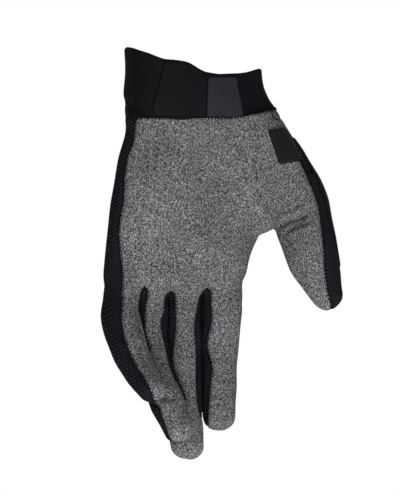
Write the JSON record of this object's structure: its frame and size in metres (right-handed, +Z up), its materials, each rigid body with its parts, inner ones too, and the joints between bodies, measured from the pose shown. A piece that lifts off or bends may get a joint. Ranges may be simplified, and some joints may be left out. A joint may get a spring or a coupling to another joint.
{
  "type": "cycling glove",
  "caption": "Full-finger cycling glove for the left hand in its worn form, with a grey suede palm, black knit back, side strips between the fingers and a short elastic cuff",
  "frame": {"origin": "the middle of the wrist opening, where the hand goes in", "axes": "+Z up out of the cuff along the forearm, with the fingers towards -Z; -Y the way the palm faces; +X the thumb's side"},
  "size_m": [0.1247, 0.0666, 0.2147],
  "materials": {
    "suede": "grey heather suede-like microfibre, matt with a short nap",
    "knit": "black to navy stretch knit with fine diagonal ribs, matt",
    "elastic": "black elastic band, matt and dense",
    "smooth_black": "smooth black coated cloth, slightly glossy",
    "label": "dark grey-purple sewn label, bare",
    "rubber": "black moulded rubber, satin, bare"
  },
  "bodies": {
    "root": {"palm_panel": "suede", "back_panel": "knit", "fourchette_index_middle": "knit", "fourchette_middle_ring": "knit", "fourchette_ring_little": "knit", "thumb_side": "knit", "thumb_back": "smooth_black", "cuff": "elastic", "wrist_tab": "smooth_black", "cuff_label": "label", "heel_badge": "rubber"}
  },
  "joints": []
}
